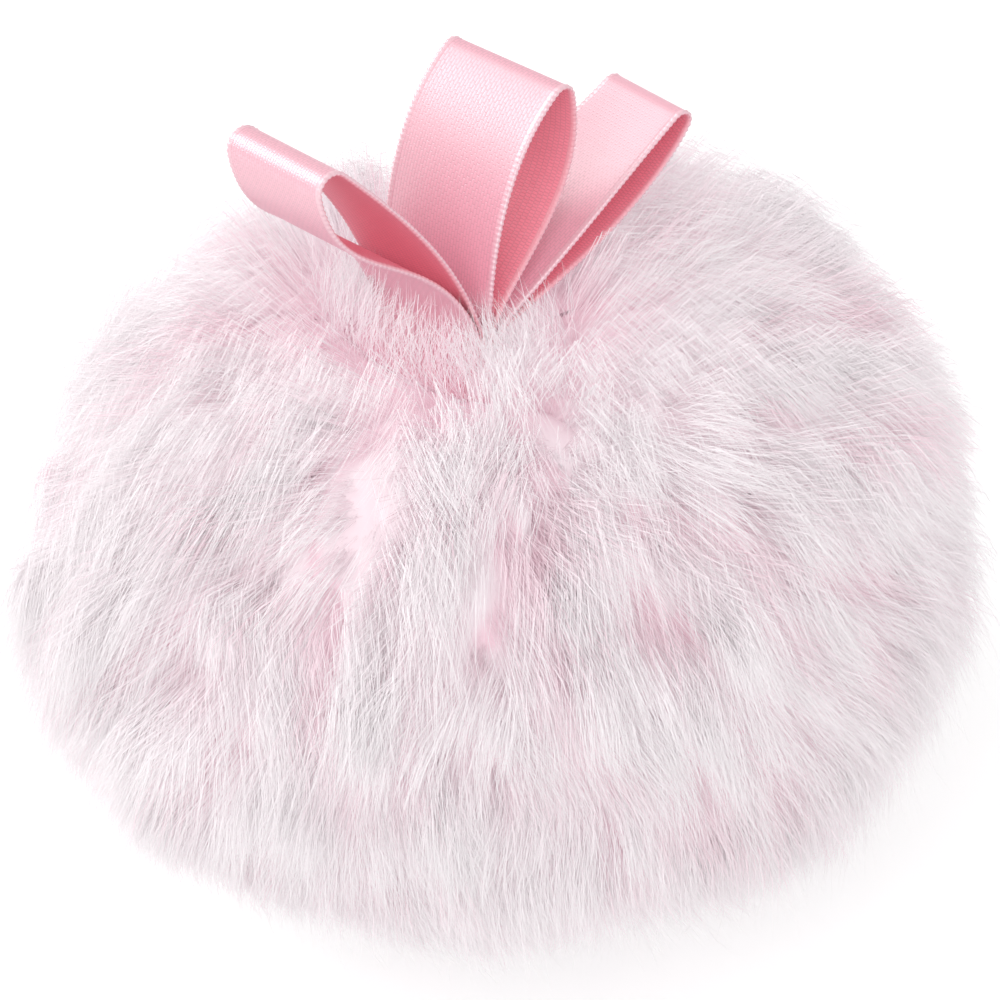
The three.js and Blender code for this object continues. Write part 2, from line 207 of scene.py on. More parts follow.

# The undercoat, in millimetres, with its ridges and its tone, which carries painted shade: whiter on raised
# parts and ridge tops, pinker in hollows, creases and near the lip
UNDER_GRID = (200, 440)
UNDER_INNER_ROWS = 24
UNDER_SHARE = 0.27
UNDER_LIP_SHARE = 0.35
UNDER_RELIEF = 0.6
UNDER_FLOOR = 0.8
UNDER_GAP = 1.5
RIDGE_DEPTH = 0.3
RIDGE_COUNT = (60, 130)
RIDGE_WAVES = 12
RIDGE_BEND = 0.08
RIDGE_KINK = 0.03
RIDGE_BENDS = 3
RIDGE_KINKS = 7
RIDGE_FADES = (3, 9)
RIDGE_FADE_RUN = (2, 6)
RIDGE_PHASE = 6
RIDGE_SPREAD = 2.2
RIDGE_RISE = (8.0, 36.0)
UNDER_TONE = 0.5
RELIEF_PAINTED_SHADE = 0.10
RIDGE_PAINTED_SHADE = 0.07
LIP_PAINTED_SHADE = 0.4
TONE_RANGE = (0.2, 0.96)
INNER_TONE = 0.05
UNDER_TINT = 0.5

# Colours and surfaces, with the satin's weave in millimetres
FUR = dict(colour=(0.95, 0.88, 0.91), roughness=0.75, specular=0.25)
FUR_ROOT = (0.95, 0.61, 0.71)
FUR_HALF = (0.986, 0.918, 0.946)
FUR_HALF_AT = 0.6
FUR_TIP = (0.996, 0.984, 0.989)
FUR_TINT = (0.99, 0.98, 0.986)
WHITE = (1.0, 1.0, 1.0)
COVER = dict(colour=(0.86, 0.52, 0.61), roughness=0.9, specular=0.2)
THREAD = dict(colour=(0.87, 0.72, 0.76), roughness=0.8, specular=0.2)
SATIN_FACE = dict(colour=(0.80, 0.32, 0.415), roughness=0.38, specular=1.0)
SATIN_FACE_WEAVE = dict(length=0.85, width=0.40, relief=0.35)
SATIN_BACK = dict(colour=(0.86, 0.28, 0.36), roughness=0.5, specular=0.4)
SATIN_BACK_WEAVE = dict(length=0.36, width=0.70, relief=0.5)
SATIN_IOR = 2.2
FLOAT_STAGGER = 0.4
FLOAT_GAP = 0.09
FLOAT_PALER = 1.06
FLOAT_DARKER = 0.80
FLOAT_HEIGHT = 0.05
SELVEDGE_BAND = (0.75, 0.45)
SELVEDGE_KEEP = 0.8
SELVEDGE_PALE = 0.17

# The camera's place in the photograph, in degrees, millimetres and pixels
CAMERA_AZIMUTH = 48.0
CAMERA_ELEVATION = 37.0
CAMERA_ROLL = 7.0
CAMERA_DISTANCE = 600.0
SENSOR_WIDTH = 36.0
PIXELS_PER_MM = 9.19
PICTURE_WIDTH = 1000.0
BALL_MIDDLE = 35.0
BALL_BELOW_CENTRE = 54.0
NEAREST_SEEN = 0.05
FARTHEST_SEEN = 20.0

# The stage and its light, in metres and watts
FLOOR = dict(colour=(0.7, 0.7, 0.7), roughness=0.9, specular=0.0)
FLOOR_HALF = 3.0
FLOOR_GLOW = 0.4
SURROUND = 0.88
KEY = dict(place=(-0.86, -0.26, 0.66), size=0.78, energy=4.4)
FILL = dict(place=(0.50, -0.86, 0.80), size=0.9, energy=4.4)
DIFFUSE_BOUNCES = 6
TRACED_BOUNCES = 2
BOUNCE_REACH = 0.001

# Values that follow from the sizes
TILT_WAY = np.array([math.cos(math.radians(TILT_ANGLE)), math.sin(math.radians(TILT_ANGLE)), 0.0])
COVER_RADIUS = PUFF_WIDTH / 2 - PILE_SIDE
COVER_HALF = (PUFF_HEIGHT - PILE_TOP - PILE_BASE) / 2
COVER_MIDDLE = PILE_BASE + COVER_HALF
BASE_TURN = -math.pi / 2 + POLE_GAP
TOP_TURN = math.acos((MOUTH_RADIUS / COVER_RADIUS) ** (ROUNDNESS / 2))


# Helpers

def smoothstep(value, low, high):
    """Cubic step from 0 at low to 1 at high."""
    share = np.clip((value - low) / (high - low), 0.0, 1.0)
    return share * share * (3.0 - 2.0 * share)


def unit(vectors):
    """Vectors scaled to length 1."""
    return vectors / np.maximum(np.linalg.norm(vectors, axis=-1, keepdims=True), 1e-12)


def new_mesh(name, points, faces, smooth=True):
    """Object at the origin with a mesh of points in millimetres and faces of equal size."""
    mesh = bpy.data.meshes.new(name)
    corners = faces.shape[1]
    mesh.vertices.add(len(points))
    mesh.vertices.foreach_set("co", (points * MM).astype(np.float32).ravel())
    mesh.loops.add(faces.size)
    mesh.loops.foreach_set("vertex_index", faces.astype(np.int32).ravel())
    mesh.polygons.add(len(faces))
    mesh.polygons.foreach_set("loop_start", np.arange(0, faces.size, corners, dtype=np.int32))
    mesh.polygons.foreach_set("use_smooth", np.full(len(faces), smooth))
    mesh.update(calc_edges=True)
    mesh.validate()
    obj = bpy.data.objects.new(name, mesh)
    scene.collection.objects.link(obj)
    return obj


def add_uv(obj, name, uv):
    """UV map from one pair for each corner of each face."""
    layer = obj.data.uv_layers.new(name=name)
    layer.data.foreach_set("uv", uv.astype(np.float32).ravel())


# Cover

def cover_point(turn, angle):
    """Skin that the fur grows from: a squarish ellipse turned about Z, gathered round the neck.

    turn goes from -pi/2 under the base to TOP_TURN at the lip of the neck, angle round the axis from +X.
    """
    power = 2.0 / ROUNDNESS
    radius = COVER_RADIUS * np.abs(np.cos(turn)) ** power
    height = COVER_MIDDLE + COVER_HALF * np.sign(np.sin(turn)) * np.abs(np.sin(turn)) ** power
    top = smoothstep(turn, 0.0, CROWN_BLEND)
    drawn_in = DIMPLE_DEPTH * np.cos(np.minimum(radius / DIMPLE_RADIUS, 1.0) * math.pi / 2) ** 2
    broad, fine = GATHER_WANDER
    wander = angle + broad * np.sin(3 * angle + 1.0) + fine * np.sin(5 * angle)
    reach = np.clip((radius - MOUTH_RADIUS) / THROAT_REACH, 0.0, 1.0)
    gather = GATHER_DEPTH * np.sin(reach * math.pi) ** GATHER_SHAPE * np.cos(GATHERS * wander)
    neck = np.where(turn > 0, 1.0 - smoothstep(radius, MOUTH_RADIUS, THROAT_REACH), 0.0)
    across = np.cos(angle)
    x = neck * THROAT_OFFSET + radius * across + neck * NECK_STRETCH * across * (1.5 - 0.5 * across ** 2)
    y = radius * np.sin(angle)
    z = height - top * drawn_in + top * gather
    z = z + CROWN_TILT * (x * TILT_WAY[0] + y * TILT_WAY[1]) * np.cos(turn) ** 2
    return np.stack([x, y, z], -1)


def cover_frame(turn, angle):
    """Point, outward normal and the way that leads from the neck over the side to the base."""
    step = 1e-3
    point = cover_point(turn, angle)
    down = unit(cover_point(turn - step, angle) - cover_point(turn + step, angle))
    round_about = cover_point(turn, angle + step) - cover_point(turn, angle - step)
    normal = unit(np.cross(down, round_about))
    return point, normal, down


def spread_over_cover(count, offset):
    """Turn and angle of points spread evenly over the cover, by a two-way additive sequence."""
    turns = np.linspace(BASE_TURN, TOP_TURN, SPREAD_RINGS)
    ring = cover_point(turns[:, None], np.linspace(0, 2 * math.pi, SPREAD_SECTORS)[None, :])
    band = np.linalg.norm(np.diff(ring, axis=1), axis=2).sum(1)
    rise = np.linalg.norm(np.gradient(ring, axis=0), axis=2).mean(1)
    share = np.cumsum(band * rise)
    index = np.arange(count) + offset
    turn = np.interp(np.mod(index * SPREAD_UP, 1.0), share / share[-1], turns)
    angle = 2 * math.pi * np.mod(index * SPREAD_ROUND, 1.0)
    return turn, angle


def grid_on_cover(rows, columns):
    """Turn and angle of a grid on the cover, from the middle of the base to the lip of the neck."""
    turn = np.linspace(BASE_TURN, TOP_TURN, rows)
    angle = np.linspace(0, 2 * math.pi, columns, endpoint=False)
    return np.meshgrid(turn, angle, indexing="ij")


def make_shell(name, outer, inner):
    """Closed shell with a mouth: an outer grid up from the base and an inner one back down."""
    rings = np.concatenate([outer, inner[::-1]])
    rows, columns = rings.shape[:2]
    poles = np.stack([outer[0].mean(0), inner[0].mean(0)])
    row, column = np.meshgrid(np.arange(rows - 1), np.arange(columns), indexing="ij")
    following = (column + 1) % columns
    first, second = row * columns + column, row * columns + following
    third, fourth = second + columns, first + columns
    ring = np.arange(columns)
    after = (ring + 1) % columns
    pole = np.full(columns, rows * columns)
    last = (rows - 1) * columns
    faces = np.concatenate([
        np.stack([first, second, third], -1).reshape(-1, 3),
        np.stack([first, third, fourth], -1).reshape(-1, 3),
        np.stack([pole, after, ring], -1),
        np.stack([pole + 1, last + ring, last + after], -1),
    ])
    return new_mesh(name, np.concatenate([rings.reshape(-1, 3), poles]), faces), faces


def make_cover():
    """Cover cloth under the fur: a thin shell, open at the neck."""
    turn, angle = grid_on_cover(*COVER_GRID)
    point, normal, _ = cover_frame(turn, angle)
    return make_shell("cover", point, point - CLOTH_THICKNESS * normal)[0]


# Combing

def soft_noise(rng, shortest, longest):
    """Smooth noise of unit spread: a sum of plane waves of random way, length and phase."""
    way = unit(rng.normal(0, 1, (NOISE_WAVES, 3)))
    way = way * (2 * math.pi / rng.uniform(shortest, longest, NOISE_WAVES))[:, None]
    phase = rng.uniform(0, 2 * math.pi, NOISE_WAVES)

    def value(points):
        return np.sin(points @ way.T + phase).sum(-1) * math.sqrt(2.0 / NOISE_WAVES)

    return value


def combing(rng):
    """Lean, swirl, length and crease of the hair by place: broad patches and streaks of smooth noise."""
    patch = [soft_noise(rng, *PATCH_PITCH) for _ in range(3)]
    streak = [soft_noise(rng, *STREAK_PITCH) for _ in range(3)]

    def comb(turn, angle):
        place = cover_point(turn, angle)
        fan = np.stack([COVER_RADIUS * np.cos(angle), COVER_RADIUS * np.sin(angle), STREAK_RUN * turn], -1)
        lean = LEAN_SPREAD * patch[0](place) + STREAK_LEAN * streak[0](fan)
        swirl = SWIRL_SPREAD * patch[1](place) + STREAK_SWIRL * streak[1](fan)
        hollow = CREASE_PATCH * patch[0](place) - CREASE_PATCH * patch[2](place) + streak[0](fan)
        crease = smoothstep(hollow, *CREASE_RISE)
        crease = crease * (CREASE_BELOW + (1.0 - CREASE_BELOW) * smoothstep(turn, *CREASE_TURN))
        length = 1.0 + LENGTH_SPREAD * patch[2](place) + STREAK_LENGTH * streak[2](fan)
        return np.maximum(lean, 0.0), swirl, length - CREASE_DEPTH * crease, crease

    return comb


def pile_surface(points):
    """Measure that is 1 on the outer surface of the pile and less inside: a squarish ellipse about Z.

    Below the middle it is shifted and spread sideways, and drawn in at the front more to one side.
    """
    rise = (points[..., 2] - PILE_MIDDLE) / PILE_HALF
    low = smoothstep(-rise, 0.0, BASE_BLEND)
    shift = PILE_SHIFT + BASE_SHIFT * low
    points = points - shift[..., None] * TILT_WAY
    lifted = CROWN_TILT * (points @ TILT_WAY) * np.clip(1.0 - rise ** 2, 0.0, 1.0)
    level = np.abs(points[..., 2] - lifted - PILE_MIDDLE) / PILE_HALF
    sideways = points @ TILT_WAY * (1.0 - BASE_SPREAD * low)
    draw = BASE_DRAW - BASE_SKEW * sideways / PILE_RADIUS
    forwards = (points[..., 1] * TILT_WAY[0] - points[..., 0] * TILT_WAY[1]) * (1.0 + draw * low)
    round_about = np.hypot(sideways, forwards) / PILE_RADIUS
    return level ** ROUNDNESS + round_about ** ROUNDNESS


def from_lip(turn):
    """How far a place on the cover lies outside the lip of the neck."""
    radius = COVER_RADIUS * np.abs(np.cos(turn)) ** (2.0 / ROUNDNESS)
    return np.where(turn > 0, radius - MOUTH_RADIUS, COVER_RADIUS)


def hair_way(root, turn, normal, down, lean, swirl, length):
    """Way from root to tip: combed from the neck over the side to the base, ending on the pile's surface.

    The length is found by halving the range in which the tip crosses the pile's outer surface.
    """
    height = turn / (math.pi / 2)
    combed = smoothstep(from_lip(turn), 0.0, LIP_REACH)
    base_lean = SIDE_LEAN + (DOME_LEAN - SIDE_LEAN) * smoothstep(height, *DOME_RISE)
    base_lean = base_lean + (BASE_LEAN - SIDE_LEAN) * smoothstep(-height, *BASE_FALL)
    base_lean = LIP_LEAN + (base_lean - LIP_LEAN) * combed
    base_lean = base_lean - LEAN_TILT * combed * (unit(root * (1, 1, 0)) @ TILT_WAY)
    tilt = np.radians(base_lean + lean)[:, None]
    turned = np.radians(swirl)[:, None]
    side = np.cross(normal, down)
    along = down * np.cos(turned) + side * np.sin(turned)
    way = normal * np.cos(tilt) + along * np.sin(tilt)
    near, far = np.full(len(root), SHORTEST_HAIR), np.full(len(root), LONGEST_HAIR)
    for _ in range(LENGTH_HALVINGS):
        half = (near + far) / 2
        inside = pile_surface(root + way * half[:, None]) < 1.0
        near = np.where(inside, half, near)
        far = np.where(inside, far, half)
    reach = LIP_HAIR + (near - LIP_HAIR) * combed
    return way * (reach * length)[:, None]


def hair_lift(turn):
    """How far a hair bows out, as a share of its length: most at the lip and on the dome."""
    dome = DOME_LIFT * smoothstep(turn, *DOME_TURN)
    return STRAND_LIFT + dome + LIP_LIFT * (1.0 - smoothstep(from_lip(turn), 0.0, LIP_REACH))


# Fur

def make_undercoat(rng, comb):
    """Dense underfur below the loose tips: places part way along the combed hair, with fine ridges.

    The outer grid is turned back down the neck and under the hair, so that the piece is a closed shell.
    """
    rows, columns = UNDER_GRID
    turn, angle = (value.ravel() for value in grid_on_cover(rows, columns))
    root, normal, down = cover_frame(turn, angle)
    lean, swirl, length, crease = comb(turn, angle)
    outside = smoothstep(from_lip(turn), 0.0, LIP_REACH)
    share = UNDER_SHARE * (UNDER_LIP_SHARE + (1.0 - UNDER_LIP_SHARE) * outside)
    ridge = np.zeros(len(turn))
    for count in rng.integers(*RIDGE_COUNT, RIDGE_WAVES):
        bend = rng.normal(0, RIDGE_BEND) * np.sin(RIDGE_BENDS * turn + rng.uniform(0, RIDGE_PHASE))
        bend = bend + RIDGE_KINK * np.sin(RIDGE_KINKS * turn + rng.uniform(0, RIDGE_PHASE))
        fading = rng.integers(*RIDGE_FADES) * angle + rng.uniform(*RIDGE_FADE_RUN) * turn
        fade = 0.5 + 0.5 * np.sin(fading + rng.uniform(0, RIDGE_PHASE))
        ridge += fade * np.sin(count * (angle + bend) + rng.uniform(0, RIDGE_PHASE))
    ridge = ridge / RIDGE_SPREAD * smoothstep(np.hypot(root[:, 0], root[:, 1]), *RIDGE_RISE)

    def part_way(lean, swirl, length):
        way = hair_way(root, turn, normal, down, lean, swirl, length)
        bow = np.linalg.norm(way, axis=1) * hair_lift(turn) / STRAND_SWELL
        return root + way * share[:, None] + normal * (bow * share)[:, None]

    still = np.zeros(len(turn))
    outer = part_way(UNDER_RELIEF * lean, UNDER_RELIEF * swirl, 1.0 + UNDER_RELIEF * (length - 1.0))
    relief = ((outer - part_way(still, still, still + 1.0)) * normal).sum(1)
    outer += normal * (RIDGE_DEPTH * ridge)[:, None]
    outer[:, 2] = np.maximum(outer[:, 2], UNDER_FLOOR)
    inner_turn, inner_angle = grid_on_cover(UNDER_INNER_ROWS, columns)
    inner, inner_normal, _ = cover_frame(inner_turn, inner_angle)
    inner = inner + UNDER_GAP * inner_normal
    obj, faces = make_shell("undercoat", outer.reshape(rows, columns, 3), inner)
    # Painted shade: the undercoat is whiter where it stands higher and on ridge tops, pinker in hollows,
    # grooves and creases
    tone_with_painted_shade = UNDER_TONE + RELIEF_PAINTED_SHADE * relief + RIDGE_PAINTED_SHADE * ridge - CREASE_PAINTED_SHADE * crease
    # Painted shade: pinker still towards the lip of the neck, round the ribbons' base
    tone_with_painted_shade = tone_with_painted_shade * (LIP_PAINTED_SHADE + (1.0 - LIP_PAINTED_SHADE) * outside)
    point_v = np.full(len(obj.data.vertices), INNER_TONE)
    point_v[:rows * columns] = np.clip(tone_with_painted_shade, *TONE_RANGE)
    uv = np.stack([np.full(faces.shape, UNDER_TINT), point_v[faces]], -1)
    add_uv(obj, "OFBake", uv.reshape(-1, 2))
    return obj


def make_locks(rng, comb):
    """Roots and tips of the locks, each tip drawn towards the tip of the nearest tuft."""
    tuft_turn, tuft_angle = spread_over_cover(TUFTS, TUFT_START)
    tuft_angle = tuft_angle + rng.normal(0, TUFT_SCATTER, TUFTS)
    tuft_root, tuft_normal, tuft_down = cover_frame(tuft_turn, tuft_angle)
    turn, angle = spread_over_cover(LOCKS, LOCK_START)
    root, normal, down = cover_frame(turn, angle)
    nearest = np.zeros(LOCKS, int)
    for start in range(0, LOCKS, LOCK_CHUNK):
        gap = np.linalg.norm(root[start:start + LOCK_CHUNK, None] - tuft_root[None], axis=2)
        nearest[start:start + LOCK_CHUNK] = gap.argmin(1)

    tuft_lean, tuft_swirl, tuft_length, _ = comb(tuft_turn, tuft_angle)
    tuft_lean += rng.normal(0, TUFT_LEAN, TUFTS)
    tuft_swirl += rng.normal(0, TUFT_SWIRL, TUFTS)
    tuft_tip = tuft_root + hair_way(
        tuft_root, tuft_turn, tuft_normal, tuft_down, tuft_lean, tuft_swirl, tuft_length)
    lean, swirl, length, crease = comb(turn, angle)
    lean += rng.normal(0, LOCK_LEAN, LOCKS)
    swirl += rng.normal(0, LOCK_SWIRL, LOCKS)
    length *= 1.0 + rng.normal(0, LOCK_LENGTH, LOCKS)
    tip = root + hair_way(root, turn, normal, down, lean, swirl, length)
    tip += TUFT_DRAW * (tuft_tip[nearest] - tip)
    share = np.mod(tuft_angle[nearest], 2 * math.pi) / (2 * math.pi)
    sector = np.minimum((share * FUR_PIECES).astype(int), FUR_PIECES - 1)
    return dict(turn=turn, root=root, normal=normal, down=down, tip=tip, crease=crease, sector=sector)


def loop_underside(points, loop):
    """Height that hair reaches under a loop that leans out over the fur, without bound beside the ribbon.

    It is the height of the loop's lower strand at the point, by its place across and along the ribbon,
    less the way that the loop can bend down.
    """
    strand = loop_parts(loop)[2]
    lean = math.radians(loop["lean"])
    out = points[:, 1] - loop["seat"] * SEAT_PITCH
    rise = np.interp(out, strand[:, 0], strand[:, 1])
    reach = out * math.sin(lean) + rise * math.cos(lean)
    turned = smoothstep(reach, 0.0, loop["length"])
    across = points[:, 0] - THROAT_OFFSET - np.maximum(reach, 0.0) * math.sin(math.radians(loop["side"]))
    out = out - across * np.tan(math.radians(loop["swing"]) * turned)
    rise = np.interp(out, strand[:, 0], strand[:, 1], left=np.inf, right=np.inf)
    rise = rise + across * np.tan(math.radians(loop["tilt"]) * turned)
    room = HAIR_ROOM + np.maximum(reach, 0.0) * math.tan(math.radians(LOOP_DROP))
    beside = np.abs(across) > RIBBON_WIDTH / 2 + HAIR_ROOM
    return np.where(beside, np.inf, ROOT_HEIGHT + rise - room)


def make_strands(rng, locks, lock):
    """Root, bowed middle and tip of each strand, by the number of its lock.

    A strand goes its lock's way, set off within the lock, drawn together and strayed. Some of those round
    the lip stand up instead. All stay over the floor and under the loop that leans out.
    """
    turn, root, normal, down = (locks[key] for key in ("turn", "root", "normal", "down"))
    total = len(lock)
    side = unit(np.cross(normal, down))
    spot = np.sqrt(rng.random(total)) * LOCK_RADIUS
    spin = rng.random(total) * 2 * math.pi
    offset = side[lock] * (spot * np.cos(spin))[:, None] + down[lock] * (spot * np.sin(spin))[:, None]
    strand_root = root[lock] + offset
    way = (locks["tip"] - root)[lock] - offset * LOCK_DRAW + rng.normal(0, STRAND_STRAY, (total, 3))
    way *= (1.0 - STRAND_SHORTER * rng.random(total) ** 2.0)[:, None]
    lift = hair_lift(turn)[lock]
    fringe = np.flatnonzero((from_lip(turn)[lock] < FRINGE_REACH) & (rng.random(total) < FRINGE_SHARE))
    upright = np.array([0.0, 0.0, 1.0]) - FRINGE_DRAW * down[lock[fringe]]
    upright += rng.normal(0, FRINGE_STRAY, (len(fringe), 3))
    shortest, spread = FRINGE_LENGTH
    way[fringe] = unit(upright) * (LIP_HAIR * (shortest + spread * rng.random(len(fringe))))[:, None]
    lift[fringe] = 0.0
    length = np.linalg.norm(way, axis=1)
    middle = strand_root + way * STRAND_SWELL + normal[lock] * (length * lift)[:, None]
    middle += rng.normal(0, STRAND_CURL, (total, 3))
    tip = strand_root + way
    tip[:, 2] -= STRAND_SAG * length
    for points in (middle, tip):
        points[:, 2] = np.minimum(points[:, 2], loop_underside(points, LOOPS["right"]))
        points[:, 2] = np.maximum(points[:, 2], FLOOR_GAP + FLOOR_LAYER * rng.random(total))
    return strand_root, middle, tip


def make_fur(rng, comb):
    """Strands of fur as closed spindles of five points, split into sectors round the ball."""
    locks = make_locks(rng, comb)
    lock = np.repeat(np.arange(LOCKS), STRANDS)
    total = len(lock)
    root, middle, tip = make_strands(rng, locks, lock)
    along = unit(tip - root)
    first = unit(np.cross(along, rng.normal(0, 1, (total, 3))))
    second = np.cross(along, first)
    thinnest, spread = STRAND_WIDTHS
    width = STRAND_WIDTH / 2 * (thinnest + spread * rng.random(total))[:, None]
    ring = [middle + width * (first * math.cos(a) + second * math.sin(a))
            for a in (0, 2 * math.pi / 3, 4 * math.pi / 3)]
    points = np.stack([root, *ring, tip], 1)
    corners = np.array([[0, 2, 1], [0, 3, 2], [0, 1, 3], [4, 1, 2], [4, 2, 3], [4, 3, 1]])
    shade = (1.0 - LOCK_TINT) * rng.random(total) + LOCK_TINT * rng.random(LOCKS)[lock]
    tint = TINT_START + TINT_RUN * shade
    between = tint + TINT_STEP
    point_u = np.stack([between, tint, between, tint + 2 * TINT_STEP, between], 1)
    stages = np.array([ROOT_STAGE, STRAND_SWELL, STRAND_SWELL, STRAND_SWELL, TIP_STAGE])
    # Painted shade: a strand in a crease reads its whole colour further towards the pink root
    point_v = stages[None, :] * (1.0 - CREASE_PAINTED_SHADE * locks["crease"][lock])[:, None]
    point_uv = np.stack([point_u, point_v], -1)
    sector = locks["sector"][lock]
    pieces = []
    for number in range(FUR_PIECES):
        chosen = sector == number
        count = int(chosen.sum())
        faces = (np.arange(count)[:, None, None] * points.shape[1] + corners[None]).reshape(-1, 3)
        obj = new_mesh(f"fur_{number + 1}", points[chosen].reshape(-1, 3), faces, smooth=False)
        add_uv(obj, "OFBake", point_uv[chosen][:, corners].reshape(-1, 2))
        pieces.append(obj)
    return pieces


# Ribbons

def bezier(ends, count):
    """Points of a cubic Bezier curve with four control points, the first and last on it."""
    t = np.linspace(0, 1, count)[:, None]
    a, b, c, d = ends
    return a * (1 - t) ** 3 + 3 * b * t * (1 - t) ** 2 + 3 * c * t ** 2 * (1 - t) + d * t ** 3


def loop_parts(loop):
    """Middle line of a loop seen along X, in three parts: its two strands, from the stem up, and its fold.

    A strand is a cubic curve from the stem to the fold, and the fold is an arc between the strands.
    """
    lean = math.radians(loop["lean"])
    along = np.array([math.sin(lean), math.cos(lean)])
    across = np.array([along[1], -along[0]])
    middle = along * (loop["length"] - loop["fold"])

    def fold_point(turn):
        return middle + loop["fold"] * (across * math.cos(turn) + along * math.sin(turn))

    def strand(values, sign):
        root_lean, root_reach, tip_draw, tip_reach = values
        root = np.array([sign * LAYER_GAP / 2, STEM])
        rise = np.array([math.sin(math.radians(root_lean)), math.cos(math.radians(root_lean))])
        draw = math.radians(tip_draw)
        tip = fold_point(draw if sign > 0 else math.pi - draw)
        entry = -sign * math.sin(draw) * across + math.cos(draw) * along
        return bezier([root, root + rise * root_reach, tip - entry * tip_reach, tip], STRAND_POINTS)

    first, last = math.pi - math.radians(loop["minus"][2]), math.radians(loop["plus"][2])
    fold = np.array([fold_point(turn) for turn in np.linspace(first, last, FOLD_POINTS)])
    return strand(loop["minus"], -1), fold, strand(loop["plus"], 1)


def loop_line(loop):
    """Middle line of a whole ribbon seen along X, from one end of its tails over the fold to the other."""
    minus, fold, plus = loop_parts(loop)
    tail = np.array([[0.0, -TAIL_LENGTH], [0.0, -0.5 * TAIL_LENGTH]])
    shift = np.array([LAYER_GAP / 2, 0.0])
    return np.vstack([tail - shift, minus, fold[1:-1], plus[::-1], (tail + shift)[::-1]])


def ribbon_path(loop):
    """Even steps along a ribbon, with its middle line in space, the way of its width and its outward way.

    The middle line is spaced evenly and smoothed. The width turns and the loop leans with the reach.
    """
    line = loop_line(loop)
    run = np.concatenate([[0], np.cumsum(np.linalg.norm(np.diff(line, axis=0), axis=1))])
    even = np.linspace(0, run[-1], RIBBON_STEPS)
    line = np.stack([np.interp(even, run, line[:, 0]), np.interp(even, run, line[:, 1])], -1)
    for _ in range(SMOOTHINGS):
        line[1:-1] = 0.25 * line[:-2] + 0.5 * line[1:-1] + 0.25 * line[2:]
    lean = math.radians(loop["lean"])
    reach = line[:, 0] * math.sin(lean) + line[:, 1] * math.cos(lean)
    turned = smoothstep(reach, 0.0, loop["length"])
    swing = math.radians(loop["swing"]) * turned
    tilt = math.radians(loop["tilt"]) * turned
    width_way = np.stack([np.cos(tilt) * np.cos(swing), np.cos(tilt) * np.sin(swing), np.sin(tilt)], -1)
    centre = np.stack([THROAT_OFFSET + np.maximum(reach, 0) * math.sin(math.radians(loop["side"])),
                       loop["seat"] * SEAT_PITCH + line[:, 0], ROOT_HEIGHT + line[:, 1]], -1)
    tangent = unit(np.gradient(centre, axis=0))
    return even, centre, width_way, unit(np.cross(width_way, tangent))


def ribbon_section(even):
    """Section of a ribbon at even steps: places across it, their spread and the half thickness there.

    It is flat between two thicker, rounded selvedges, whose thickness and edge swell in a row of beads.
    """
    inmost, outmost = SELVEDGE_SHARE
    across = np.concatenate([
        [-1.0],
        np.linspace(-outmost, -inmost, SELVEDGE_COLUMNS),
        np.linspace(-FLAT_SHARE, FLAT_SHARE, FLAT_COLUMNS),
        np.linspace(inmost, outmost, SELVEDGE_COLUMNS),
        [1.0],
    ])
    edge = smoothstep(np.abs(across), *SELVEDGE_RISE)
    bead = 0.5 + 0.5 * np.cos(2 * math.pi * even / BEAD_PITCH)
    past = np.clip((np.abs(across) - ROUNDED_FROM) / ROUNDED_BAND, 0, 1)
    rounded = np.sqrt(np.clip(1.0 - past ** 2, THINNEST, 1))
    plain, swell = BEAD_THICK
    thicker = 1.0 + edge[None, :] * (plain + swell * bead[:, None])
    thick = (RIBBON_THICKNESS / 2) * thicker * rounded[None, :]
    beaded = np.where(np.abs(across) > OUTMOST_FROM, np.sign(across), 0.0)
    spread = RIBBON_WIDTH / 2 * across[None, :] + BEAD_OUT * bead[:, None] * beaded[None, :]
    return across, spread, thick


def make_ribbon(name, loop):
    """Ribbon with thickness and its length: the section carried along the path and closed at both ends."""
    even, centre, width_way, out = ribbon_path(loop)
    across, spread, thick = ribbon_section(even)
    middle = centre[:, None, :] + spread[..., None] * width_way[:, None, :]
    front = middle + thick[..., None] * out[:, None, :]
    back = (middle - thick[..., None] * out[:, None, :])[:, ::-1]
    section = np.concatenate([front, back], 1)
    count, sides = section.shape[:2]
    row, column = np.meshgrid(np.arange(count - 1), np.arange(sides), indexing="ij")
    following = (column + 1) % sides
    skin = np.stack([row * sides + column, row * sides + following,
                     (row + 1) * sides + following, (row + 1) * sides + column], -1).reshape(-1, 4)
    pairs = np.arange(sides // 2 - 1)
    first_end = np.stack([pairs, sides - 1 - pairs, sides - 2 - pairs, pairs + 1], -1)
    last_end = (first_end + (count - 1) * sides)[:, ::-1]
    faces = np.concatenate([skin, first_end, last_end])
    obj = new_mesh(name, section.reshape(-1, 3), faces)
    place = (np.concatenate([across, across[::-1]]) * 0.5 + 0.5) * RIBBON_WIDTH
    point_u = np.broadcast_to(even[:, None], (count, sides)).reshape(-1)
    point_v = np.broadcast_to(place[None, :], (count, sides)).reshape(-1)
    add_uv(obj, "Weave", np.stack([point_u[faces], point_v[faces]], -1).reshape(-1, 2))
    inner = np.zeros(len(faces), np.int32)
    inner[:len(skin)] = (column >= sides // 2).ravel()
    obj.data.polygons.foreach_set("material_index", inner)
    return obj, even[-1]


# Materials

def new_material(name, colour, roughness, specular):
    """Principled material with constants on its own sockets."""
    material = bpy.data.materials.new(name)
    material.use_nodes = True
    shader = material.node_tree.nodes["Principled BSDF"]
    shader.inputs["Base Color"].default_value = (*colour, 1.0)
    shader.inputs["Roughness"].default_value = roughness
    shader.inputs["Specular IOR Level"].default_value = specular
    return material, shader


def add_node(material, kind, inputs, **settings):
    """Node with its settings, and with each input linked to a socket or set to a value."""
    tree = material.node_tree
    node = tree.nodes.new(kind)
    for key, value in settings.items():
        setattr(node, key, value)
    for key, value in inputs.items():
        if isinstance(value, bpy.types.NodeSocket):
            tree.links.new(value, node.inputs[key])
        else:
            node.inputs[key].default_value = value
    return node


